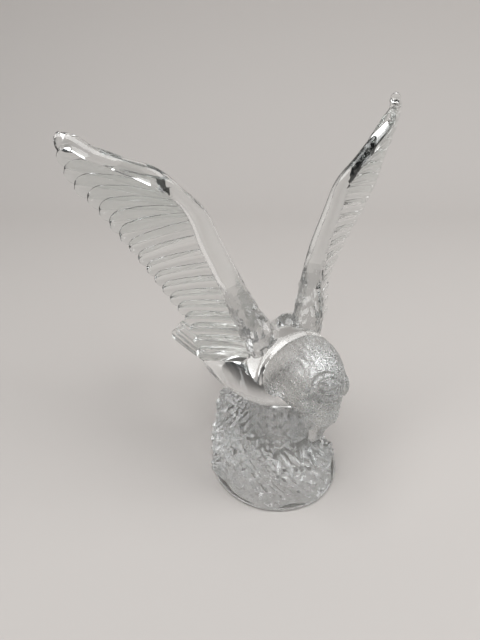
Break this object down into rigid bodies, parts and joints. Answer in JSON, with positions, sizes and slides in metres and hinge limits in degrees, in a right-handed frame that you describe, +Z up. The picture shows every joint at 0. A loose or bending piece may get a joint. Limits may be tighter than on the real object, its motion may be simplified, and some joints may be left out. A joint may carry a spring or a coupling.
{
  "type": "crystal eagle figurine",
  "caption": "Clear cast crystal eagle on a rough rock, head bowed, ribbed wings raised in a V and tail fanned behind; stands by its own weight as an ornament.",
  "frame": {"origin": "middle of the flat underside of the rock, on the surface that the figurine stands on", "axes": "+Z up along the height, -Y the way the eagle faces, +X towards the eagle's left wing"},
  "size_m": [0.2254, 0.1687, 0.2427],
  "materials": {
    "crystal": "clear crystal, polished on the wing bars, back and flanks, stippled on the head and neck, rough cast on the rock"
  },
  "bodies": {
    "root": {"crystal_eagle": "crystal"}
  },
  "joints": []
}
